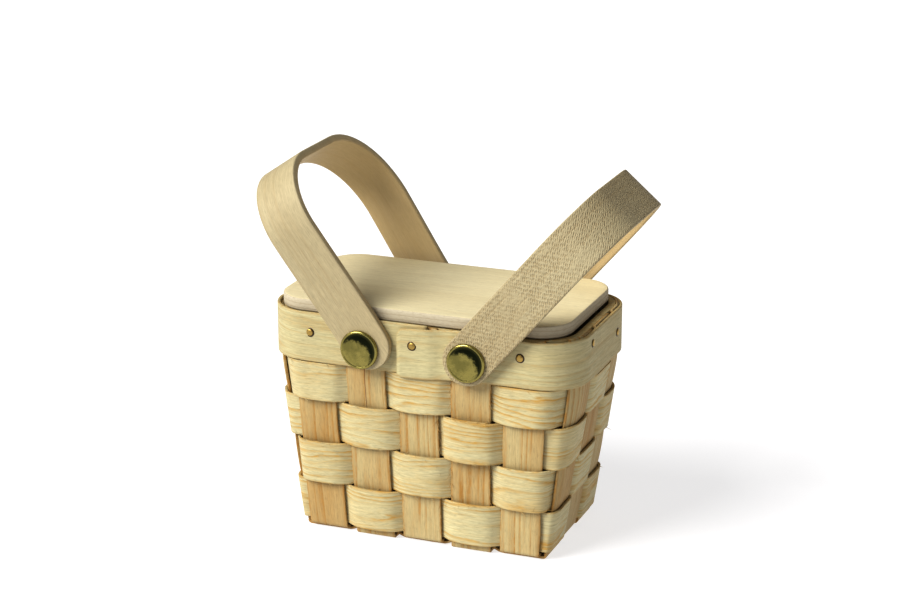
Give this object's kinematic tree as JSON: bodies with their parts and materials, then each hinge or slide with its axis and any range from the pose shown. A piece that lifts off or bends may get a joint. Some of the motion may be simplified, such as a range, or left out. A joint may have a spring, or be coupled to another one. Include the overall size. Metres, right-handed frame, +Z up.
{
  "type": "lidded picnic basket",
  "caption": "Small rectangular basket woven from flat wood splints, with nailed rim bands, a loose rounded board lid and two bentwood swing handles on brass rivets.",
  "frame": {"origin": "middle of the basket's floor, on the surface it stands on", "axes": "+X to the basket's right, along its length; +Y to its back; +Z up"},
  "size_m": [0.1177, 0.065, 0.1176],
  "materials": {
    "stakes": "raw peeled splint",
    "weavers": "raw peeled splint",
    "bands": "raw peeled veneer",
    "handles": "raw bentwood",
    "lid": "raw plywood",
    "brass": "polished"
  },
  "bodies": {
    "basket": {"stake_front_back_1": "stakes", "stake_front_back_2": "stakes", "stake_front_back_3": "stakes", "stake_front_back_4": "stakes", "stake_front_back_5": "stakes", "stake_end_to_end_1": "stakes", "stake_end_to_end_2": "stakes", "stake_end_to_end_3": "stakes", "weaver_top": "weavers", "weaver_upper": "weavers", "weaver_lower": "weavers", "weaver_bottom": "weavers", "rim_band_outer": "bands", "rim_band_inner": "bands", "rim_nails_front": "brass", "rim_nails_right": "brass", "rim_nails_back": "brass", "rim_nails_left": "brass", "rivet_left_front": "brass", "rivet_left_back": "brass", "rivet_right_front": "brass", "rivet_right_back": "brass", "washer_left_front": "brass", "washer_left_back": "brass", "washer_right_front": "brass", "washer_right_back": "brass"},
    "handle_left": {"handle_left": "handles"},
    "handle_right": {"handle_right": "handles"},
    "lid": {"lid_board": "lid", "lid_locating_board": "lid"}
  },
  "joints": [
    {"name": "handle_left_swing", "type": "hinge", "parent": "basket", "child": "handle_left", "pos_m": [-0.017, 0, 0.0628], "axis": [0, 1, 0], "range_deg": [-105.6, 40.4]},
    {"name": "handle_right_swing", "type": "hinge", "parent": "basket", "child": "handle_right", "pos_m": [0.017, 0, 0.0628], "axis": [0, 1, 0], "range_deg": [-46.6, 99.4]},
    {"name": "lid_lift", "type": "slide", "parent": "basket", "child": "lid", "axis": [0, 0, 1], "range_m": [0, 0.027]}
  ]
}
